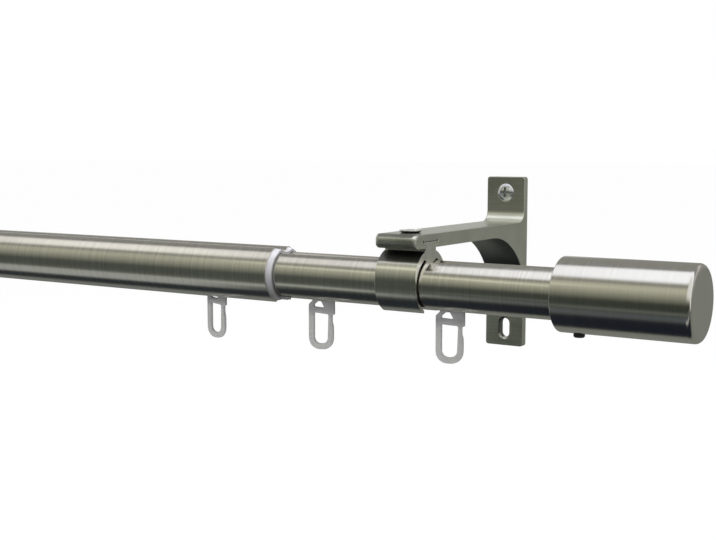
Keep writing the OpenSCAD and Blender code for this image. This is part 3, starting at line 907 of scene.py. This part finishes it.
def build_mesh(name: str, parts: Sequence[Shell]) -> bpy.types.Object:
    """Joins closed shells into one smooth object at the origin.

    Args:
        name: The object's name.
        parts: Points and quads of each shell; a repeated last corner marks a triangle.

    Returns:
        The new object, linked to the scene.
    """
    points, faces, base = [], [], 0
    for verts, quads in parts:
        points.append(verts)
        faces.extend([q[:3] if q[2] == q[3] else q for q in (quads + base).tolist()])
        base += len(verts)
    obj = mesh_object(name, np.concatenate(points), faces)
    obj.data.validate()
    obj.data.shade_smooth()
    out = obj.modifiers.new("sharp_edges", "EDGE_SPLIT")
    out.split_angle = math.radians(50)
    recalc_outside(obj.data)
    return obj


# Sub-assemblies
@dataclass
class SubAssembly:
    """A group of pieces that are built and dressed together."""

    frame: dict[str, Any]
    made: list[str] = field(default_factory=list)

    def node(self, name: str) -> bpy.types.Object:
        """A CAD node of the frame, noted as handled."""
        self.made.append(name)
        return self.frame["nodes"][name]

    def joint(self, name: str) -> dict[str, Any]:
        """A joint of the frame."""
        return next(joint for joint in self.frame["joints"] if joint["name"] == name)

    def dress(self, finish: Finish, *names: str) -> None:
        """Gives CAD nodes a finish."""
        for name in names:
            finish.dress(self.node(name))

    def piece(self, obj: bpy.types.Object, body: str, slot: str, finish: Finish,
              stands_for: str | None = None) -> None:
        """Rides a new object on a body and dresses it.

        Args:
            obj: The new object.
            body: The CAD body that it moves with.
            slot: The record's material slot; not used.
            finish: Its finish.
            stands_for: A CAD node that it replaces, if any.
        """
        finish.dress(obj)
        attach(obj, body)
        if stands_for:
            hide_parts(stands_for)
        self.made.append(obj.name)

    def build(self) -> list[str]:
        """Builds and dresses everything; returns the names that were made."""
        raise NotImplementedError


@dataclass
class Tubes(SubAssembly):
    """The two nested tubes with the collar and the hidden guide."""

    def build(self) -> list[str]:
        """Dresses the tubes in brushed metal and their fittings in plastic."""
        self.dress(TUBE, "inner_tube", "outer_tube")
        self.dress(PALE, "transition_collar")
        self.dress(DARK, "inner_end_guide")
        return self.made


class Side(Enum):
    """Which end of the rod a piece belongs to."""

    RIGHT = "right"
    LEFT = "left"


@dataclass
class EndAssembly(SubAssembly):
    """A sub-assembly that stands at each end of the rod."""

    side: Side = Side.RIGHT

    def named(self, piece: str) -> str:
        """The name of this side's piece."""
        return f"{self.side.value}_{piece}"


@dataclass
class Hanger(EndAssembly):
    """One wall bracket with its clamp and both screws."""

    screw_drop: float = 5.7 * MM
    shank_r: float = 1.8 * MM
    turns: int = 4
    thread_from: float = 0.4 * MM
    thread_pitch: float = 1.4 * MM
    thread_h: float = 0.35 * MM
    point_y: Pair = (4.0 * MM, 7.0 * MM)
    point_share: float = 0.08

    def wood_thread(self, x: float) -> bpy.types.Object:
        """The wall screw's thread: a ridge wound about the shank, drawn in to the point.

        Args:
            x: The hanger's middle along the rod.

        Returns:
            The thread, laid along +Y behind the plate and screw_drop below its top.
        """
        steps = np.arange(TURN_STEPS * self.turns)
        y = self.thread_from + self.thread_pitch * steps / TURN_STEPS
        begin, tip = self.point_y
        taper = np.clip((tip - y) / (tip - begin), self.point_share, 1.0)
        ridge = helix_ridge(self.shank_r * taper, self.thread_from, self.thread_pitch,
                            self.thread_h)
        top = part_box(self.named("bracket"))[1][2]
        place = np.array([x, 0.0, top - self.screw_drop])

        def lay(points: np.ndarray) -> np.ndarray:
            """The screw's own Z becomes the row's +Y: (x, y, z) -> (x, z, -y)."""
            return np.stack([points[:, 0], points[:, 2], -points[:, 1]], -1) + place

        return build_mesh(self.named("wall_screw_thread"), [moved(ridge, lay)])

    def build(self) -> list[str]:
        """Dresses the hanger's solids and winds the wall screw's thread."""
        x = self.joint(self.named("clamp_screw_turn"))["pos_m"][0]
        self.dress(replace(BRACKET, name=self.named(BRACKET.name), slot_x=x),
                   self.named("bracket"))
        self.dress(CLAMP, self.named("clamp"))
        self.dress(replace(BOLT, name=self.named(BOLT.name), centre=(x, AXIS_Y, 0.0)),
                   self.named("clamp_screw"))
        self.dress(ZINC, self.named("wall_screw"))
        self.piece(self.wood_thread(x), self.named("hanger"), "zinc_screw", ZINC)
        return self.made


@dataclass
class Finial(EndAssembly):
    """A cylinder cap with its plastic fitting and its grub screw."""

    fitting: str = "finial_sleeve"
    grub_r: float = 1.7 * MM
    turns: float = 1.5
    thread_from: float = 0.35 * MM
    thread_pitch: float = 0.5 * MM
    thread_h: float = 0.12 * MM

    def grub_thread(self) -> bpy.types.Object:
        """The fine thread on the part of the grub screw that stands out of the cap."""
        place = np.array([self.joint(self.named("grub_turn"))["pos_m"][0], AXIS_Y, 0.0])
        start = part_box(self.named("grub_screw"))[0][2] + self.thread_from
        core = np.full(int(TURN_STEPS * self.turns), self.grub_r)
        ridge = helix_ridge(core, start, self.thread_pitch, self.thread_h)
        return build_mesh(self.named("grub_thread"), [moved(ridge, lambda p: p + place)])

    def build(self) -> list[str]:
        """Dresses the cap, its fitting and its screw, and winds the screw's thread."""
        self.dress(CAP, self.named("finial_cap"))
        self.dress(DARK, self.named(self.fitting))
        self.dress(BLACK, self.named("grub_screw"))
        self.piece(self.grub_thread(), self.named("set_screw"), "black_screw", BLACK)
        return self.made


@dataclass
class Loop:
    """Sizes of a glider's loop in millimetres, seen square on: X across and Z up from the rod.

    The loop is two joined frames. The long lower one holds the window with its round bend, and
    the small upper one the three-cornered window, the chamfered shoulder and the latch block.
    """

    half: float = 4.45
    leg_in: float = 2.4
    latch_in: float = 2.65
    leg_out: float = 4.0
    belly: float = -8.2
    chamfer: float = 1.3
    bend_z: float = -20.25
    bar_z: float = -10.2
    bar_low: float = -12.1
    bar_fall: float = 0.6
    bar_lap: float = 0.3
    block_x: float = 4.85
    block_z: float = -13.0
    head_z: float = -7.45
    swell_from: float = 1.8
    swell_len: float = 2.4
    thick: float = 1.2
    crown_sink: float = 0.03
    squareness: float = 2.35
    bend: float = 0.36
    pin_r: float = 1.3
    pin_top: float = -3.65
    cap_r: float = 2.3
    cap_h: float = 1.0

    def latch_leg(self, z: np.ndarray) -> tuple[np.ndarray, np.ndarray]:
        """Edges of the leg under the block.

        The outer edge swells from leg_out to half as (1 - cos) / 2 over swell_len; the inner
        edge runs straight from the block to the bend.

        Args:
            z: Heights along the leg.

        Returns:
            X of the outer and of the inner edge at those heights.
        """
        down = np.clip((self.block_z - self.swell_from - z) / self.swell_len, 0.0, 1.0)
        outer = self.leg_out + (self.half - self.leg_out) * (1.0 - np.cos(np.pi * down)) / 2.0
        lean = np.clip((self.block_z - z) / (self.block_z - self.bend_z), 0.0, 1.0)
        return outer, self.latch_in + (self.leg_in - self.latch_in) * lean

    def window(self) -> tuple[np.ndarray, np.ndarray]:
        """Matched outlines of the lower frame: left leg, bend, latch leg, then the bar.

        The bend is a superellipse, (|cos a|^(2 / s), |sin a|^(2 / s)) times the half width.
        """
        leg_steps, bend_steps, latch_steps, bar_steps = 16, 34, 24, 12
        top = self.bar_z - self.bar_lap
        low_left, low_right = self.bar_low, self.bar_low - self.bar_fall
        left_out = polyline([(-self.half, top), (-self.half, self.bend_z)], leg_steps)
        left_in = polyline([(-self.leg_in, low_left), (-self.leg_in, self.bend_z)], leg_steps)
        a = np.linspace(np.pi, 2.0 * np.pi, bend_steps)[1:-1]
        power = 2.0 / self.squareness
        ring = np.stack([np.sign(f(a)) * np.abs(f(a)) ** power for f in (np.cos, np.sin)], axis=-1)
        centre = np.array([0.0, self.bend_z])
        z = np.linspace(self.bend_z, low_right, latch_steps)
        edge_out, edge_in = self.latch_leg(z)
        z_out = np.linspace(self.bend_z, top - self.bar_fall, latch_steps)
        right_out = np.stack([np.interp(z_out, z, edge_out), z_out], axis=-1)
        right_in = np.stack([edge_in, z], axis=-1)
        bar_out = polyline([tuple(right_out[-1]), (-self.half, top)], bar_steps)[1:-1]
        bar_in = polyline([tuple(right_in[-1]), (-self.leg_in, low_left)], bar_steps)[1:-1]
        return (np.concatenate([left_out, centre + self.half * ring, right_out, bar_out]),
                np.concatenate([left_in, centre + self.leg_in * ring, right_in, bar_in]))

    def crown(self) -> tuple[np.ndarray, np.ndarray]:
        """Matched outlines of the upper frame, corner by corner from the lower left.

        Point k of a side is corner + k / steps of the way to the next corner. The inner outline
        is the three-cornered window: a wall at the left, a roof, and a side that falls to the bar.
        """
        shoulder_z, shoulder_x = self.belly - self.chamfer, self.chamfer - self.half
        outer = [(-self.half, self.bar_low), (-self.half, shoulder_z),
                 (shoulder_x, self.belly), (shoulder_x, self.head_z),
                 (1.6, self.head_z), (self.block_x, self.head_z),
                 (self.block_x, self.block_z + 0.4), (self.leg_out, self.block_z),
                 (self.latch_in, self.block_z), (self.latch_in, self.bar_low - self.bar_fall)]
        roof, sill = self.belly - 0.2, self.bar_z - self.bar_lap
        inner = [(-self.leg_in, self.bar_z), (-self.leg_in, shoulder_z),
                 (-1.5, self.belly - 0.5), (-1.1, roof),
                 (0.0, roof), (0.45, self.belly - 0.95),
                 (0.8, self.belly - 1.6), (1.0, self.bar_z - 0.2),
                 (1.1, sill), (0.8, self.bar_z - 0.28)]
        steps = 5
        closed = [path + path[:1] for path in (outer, inner)]
        dense = [np.concatenate([polyline(path[i:i + 2], steps)[:-1] for i in range(len(outer))])
                 for path in closed]
        return dense[0], dense[1]

    def pin(self) -> np.ndarray:
        """Rows of (radius, height) of the pin and its cap, up the axis."""
        foot, top = self.head_z - 0.2, self.pin_top + self.cap_h
        tip_r, soft = 0.02, 0.25
        return np.array([
            (tip_r, foot), (self.pin_r, foot), (self.pin_r, self.pin_top),
            (self.cap_r - soft, self.pin_top), (self.cap_r, self.pin_top + soft),
            (self.cap_r, top - soft), (self.cap_r - soft, top), (tip_r, top)])

    def shells(self) -> list[Shell]:
        """The loop's closed shells in metres."""
        parts = [frame_ring(*self.window(), self.thick, self.bend),
                 frame_ring(*self.crown(), self.thick - self.crown_sink, self.bend),
                 revolve(self.pin())]
        return [(points * MM, quads) for points, quads in parts]


@dataclass
class Glider(SubAssembly):
    """A runner with the loop that hangs from it."""

    number: int = 1
    loop: Loop = field(default_factory=Loop)

    def build(self) -> list[str]:
        """Dresses the runner and hangs a soft-edged loop in place of the plain one.

        A loop swings equally far to both sides of square on, so its angle at rest is the middle
        of its joint's range with the sign turned.
        """
        number = self.number
        self.dress(GREY, f"runner_{number}", f"eyelet_{number}")
        swivel = self.joint(f"loop_{number}_swivel")
        angle = -math.radians(sum(swivel["range_deg"]) / 2.0)
        place = (swivel["pos_m"][0], AXIS_Y, 0.0)
        shells = [moved(shell, lambda p: turned_about_z(p, angle, place))
                  for shell in self.loop.shells()]
        self.piece(build_mesh(f"loop_{number}_soft", shells), f"loop_{number}", "grey_plastic",
                   GREY, stands_for=f"eyelet_{number}")
        return self.made


# Studio
TENT_END = 3.0


@dataclass(frozen=True)
class Card:
    """A soft-edged card of the reflection tent, laid along the rod.

    Angles are degrees about the rod: 0 towards the room, 90 up, 180 towards the wall. Each pair
    holds a value beside the camera's end of the rod and one beside its far end.
    """

    at: Pair
    half: Pair
    soft: float
    near: Colour
    far: Colour
    along: Pair = (-TENT_END, TENT_END)
    end_fade: float = 0.08

    @classmethod
    def even(cls, at: float, half: float, soft: float, tone: Colour, along: Pair) -> Card:
        """A card that is the same all along, over a stretch of the tent."""
        return cls((at, at), (half, half), soft, tone, tone, along)

    def lay(self, graph: Graph, angle: Sock, x: Sock, leftward: Sock, under: Sock) -> Sock:
        """Lays the card over the tone under it.

        The card's share is (half + soft / 2 - |angle - middle|) / soft, held between 0 and 1,
        and it fades in the same way at its ends.

        Args:
            graph: The tent's material.
            angle: Angle about the rod in degrees.
            x: Place along the rod.
            leftward: 0 at the camera's end of the rod and 1 at its far end.
            under: The tone so far.

        Returns:
            The tone with the card on it.
        """
        middle, half = (leftward * (far - near) + near for near, far in (self.at, self.half))
        beyond = (angle - middle).absolute() - half
        start, end = self.along
        fade = self.end_fade / 2.0
        share = beyond.rise(self.soft / 2.0, -self.soft / 2.0)
        share = share * x.rise(start - fade, start + fade) * x.rise(end + fade, end - fade)
        return graph.blend(share, under, graph.blend(leftward, self.near, self.far))


BELOW_CARDS = [
    Card((-78.0, -83.0), (24.0, 20.0), 10.0, (0.012, 0.015, 0.023), (0.025, 0.029, 0.034)),
    Card((-43.0, -43.0), (8.0, 8.0), 8.0, (0.090, 0.102, 0.112), (0.15, 0.16, 0.15)),
    Card((-27.0, -27.0), (3.0, 2.5), 8.0, (0.17, 0.188, 0.165), (0.09, 0.10, 0.088)),
    Card.even(-46.0, 5.0, 8.0, (0.41, 0.435, 0.40), (-TENT_END, -0.21)),
    Card.even(-59.0, 13.0, 10.0, (0.38, 0.40, 0.39), (-TENT_END, -0.36)),
    Card((-148.0, -148.0), (42.0, 40.0), 10.0, (0.22, 0.23, 0.21), (0.19, 0.20, 0.19)),
]
ROOM_CARDS = [
    Card((41.0, 42.0), (24.5, 25.0), 38.0, (0.54, 0.545, 0.435), (0.47, 0.475, 0.39)),
    Card((52.5, 53.5), (5.0, 5.5), 7.0, (0.23, 0.225, 0.20), (0.29, 0.29, 0.26)),
    Card((34.5, 43.0), (2.5, 2.5), 6.0, (1.00, 1.00, 0.82), (0.90, 0.90, 0.74), (-0.36, -0.10)),
]
TOP_CARDS = [
    Card((83.0, 79.5), (22.0, 16.0), 8.0, (1.22, 1.26, 1.36), (0.86, 0.85, 0.85)),
    Card.even(76.0, 13.5, 10.0, (1.05, 1.04, 1.02), (-TENT_END, -0.36)),
    Card.even(76.0, 13.5, 10.0, (0.74, 0.73, 0.71), (-TENT_END, -0.62)),
]
WALL_CARDS = [
    Card((146.0, 146.0), (38.0, 44.0), 12.0, (0.28, 0.285, 0.265), (0.30, 0.30, 0.29)),
    Card((170.0, 168.0), (11.0, 11.0), 8.0, (0.84, 0.85, 0.83), (0.80, 0.80, 0.78),
         (-TENT_END, -0.10)),
    Card.even(139.0, 7.0, 8.0, (0.74, 0.74, 0.72), (-TENT_END, -0.26)),
]
END_CARDS = [
    Card.even(142.0, 10.0, 10.0, (0.62, 0.62, 0.60), (0.14, TENT_END)),
    Card.even(52.0, 34.0, 20.0, (0.85, 0.86, 0.84), (0.08, TENT_END)),
    Card.even(-50.0, 5.0, 8.0, (0.50, 0.51, 0.50), (0.06, TENT_END)),
]


@dataclass(frozen=True)
class Lamp:
    """A square soft lamp that lights matt surfaces; metal mirrors the cards instead."""

    name: str
    at: Vec
    size: float
    watts: float

    def hang(self, to: Vec) -> None:
        """Adds the lamp to the scene.

        Args:
            to: The point that it faces.
        """
        data = bpy.data.lights.new(self.name, "AREA")
        data.shape, data.size, data.energy = "SQUARE", self.size, self.watts
        obj = linked(self.name, data)
        obj.location = self.at
        obj.rotation_euler = (Vector(to) - Vector(self.at)).to_track_quat("-Z", "Y").to_euler()
        obj.visible_glossy = obj.visible_camera = False


LAMPS = [
    Lamp("top_lamp", (0.0, -0.3, 1.6), 1.4, 27.0),
    Lamp("front_lamp", (-0.6, -1.9, 0.7), 1.2, 12.0),
    Lamp("back_lamp", (0.4, 1.8, 0.6), 1.2, 12.0),
]


@dataclass
class Studio:
    """Pale floor, white surroundings, soft lamps, and the reflection tent round the rod."""

    fill: float = 0.5
    floor_z: float = -0.42
    floor_half: float = 30.0
    floor_tone: float = 0.85
    floor_glow: float = 1.05
    floor_white: float = 0.9
    tent_r: float = 0.38
    tent_x: Pair = (-2.6, 2.2)
    tent_steps: int = 64
    ends_x: Pair = (-0.05, -0.28)
    ground: tuple[Colour, Colour] = ((0.038, 0.044, 0.036), (0.076, 0.085, 0.076))
    aim: Vec = (-0.1, AXIS_Y, 0.0)
    eye: Vec = (187.67 * MM, -394.5 * MM, 43.46 * MM)
    eye_down: float = 0.1051244
    eye_turn: float = 0.5717934
    focal_px: float = 1175.15
    photo_px: float = 716.0
    sensor: float = 36.0

    def white_for_eye(self, graph: Graph) -> Sock:
        """1 for camera, glossy and transmission rays, and 0 for the light that falls on things."""
        path = graph.add("ShaderNodeLightPath", {}, {}).out.node
        camera, glossy, through = (Sock(graph, path.outputs[name]) for name in (
            "Is Camera Ray", "Is Glossy Ray", "Is Transmission Ray"))
        return (camera + glossy + through).clamp()

    def world(self) -> None:
        """White to the eye, and a mild even light on everything."""
        world = bpy.data.worlds.new("white_room")
        bpy.context.scene.world = world
        world.use_nodes = True
        graph = Graph(world.node_tree)
        glow = graph.add("ShaderNodeBackground", {}, {
            "Color": (1.0, 1.0, 1.0, 1.0),
            "Strength": self.white_for_eye(graph) * (1.0 - self.fill) + self.fill})
        graph.add("ShaderNodeOutputWorld", {}, {"Surface": glow})

    def floor_shader(self, graph: Graph) -> Sock:
        """Builds matt grey for the lamps, with a white glow laid over it for the eye.

        Args:
            graph: The floor's material.

        Returns:
            The shader.
        """
        seen = self.white_for_eye(graph)
        grey = (self.floor_tone,) * 3
        matt = graph.add("ShaderNodeBsdfDiffuse", {}, {"Color": (*grey, 1.0)})
        glow = graph.add("ShaderNodeEmission", {}, {
            "Color": (1.0, 1.0, 1.0, 1.0), "Strength": self.floor_glow})
        return graph.add("ShaderNodeMixShader", {}, {0: seen * self.floor_white, 1: matt, 2: glow})

    def floor(self) -> None:
        """A pale floor that is nearly white to the eye and keeps the rod's shadow."""
        corners = np.array([(-1.0, -1.0), (1.0, -1.0), (1.0, 1.0), (-1.0, 1.0)]) * self.floor_half
        points = np.column_stack([corners, np.full(4, self.floor_z)])
        obj = mesh_object("floor", points, [(0, 1, 2, 3)])
        obj.data.materials.append(node_material("pale_floor", self.floor_shader))

    def tent_shader(self, graph: Graph) -> Sock:
        """Builds the cards as a glow, each laid over the ones before it, on a dark ground.

        Args:
            graph: The tent's material.

        Returns:
            The shader.
        """
        x, y, z = graph.split(graph.here())
        angle = z.arctan2(AXIS_Y - y) * math.degrees(1.0)
        leftward = x.rise(*self.ends_x)
        tone = graph.blend(leftward, *self.ground)
        for card in BELOW_CARDS + ROOM_CARDS + TOP_CARDS + WALL_CARDS + END_CARDS:
            tone = card.lay(graph, angle, x, leftward, tone)
        return graph.add("ShaderNodeEmission", {}, {"Color": tone, "Strength": 1.0})

    def tent(self) -> None:
        """A tube of light and dark cards along the rod, seen by reflections only.

        P(x, a) = (x, axis + r cos a, r sin a) at the tent's two ends.
        """
        a = np.linspace(0.0, 2.0 * np.pi, self.tent_steps, endpoint=False)
        grid = np.stack([
            np.repeat(self.tent_x, self.tent_steps),
            np.tile(AXIS_Y + self.tent_r * np.cos(a), 2),
            np.tile(self.tent_r * np.sin(a), 2)], axis=-1)
        obj = mesh_object("card_tent", grid, grid_faces(2, self.tent_steps).tolist())
        obj.visible_camera = obj.visible_diffuse = obj.visible_shadow = False
        obj.visible_transmission = False
        obj.data.materials.append(node_material("cards", self.tent_shader))

    def camera(self) -> None:
        """The photograph's camera, solved from the rod's outlines."""
        data = bpy.data.cameras.new("camera")
        data.sensor_width, data.sensor_fit = self.sensor, "HORIZONTAL"
        data.lens = self.focal_px / self.photo_px * self.sensor
        data.clip_start, data.clip_end = 0.01, 100.0
        obj = linked("camera", data)
        obj.location = self.eye
        obj.rotation_euler = (math.pi / 2 - self.eye_down, 0.0, self.eye_turn)
        bpy.context.scene.camera = obj

    def build(self) -> None:
        """Sets up the surroundings, the lamps and the camera."""
        bpy.context.scene.view_settings.view_transform = "Standard"
        self.world()
        self.floor()
        self.tent()
        for lamp in LAMPS:
            lamp.hang(self.aim)
        self.camera()


def main() -> None:
    """Builds the studio and every sub-assembly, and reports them."""
    logging.basicConfig(level=logging.INFO, format="%(name)s: %(message)s")
    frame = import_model()
    Studio().build()
    groups: list[SubAssembly] = [
        Tubes(frame),
        Hanger(frame, side=Side.RIGHT),
        Hanger(frame, side=Side.LEFT),
        Finial(frame, side=Side.RIGHT),
        Finial(frame, side=Side.LEFT, fitting="finial_plug"),
        *(Glider(frame, number=number) for number in (1, 2, 3)),
    ]
    for group in groups:
        LOG.info("%s: %s", type(group).__name__, ", ".join(group.build()))


if __name__ == "__main__":
    main()
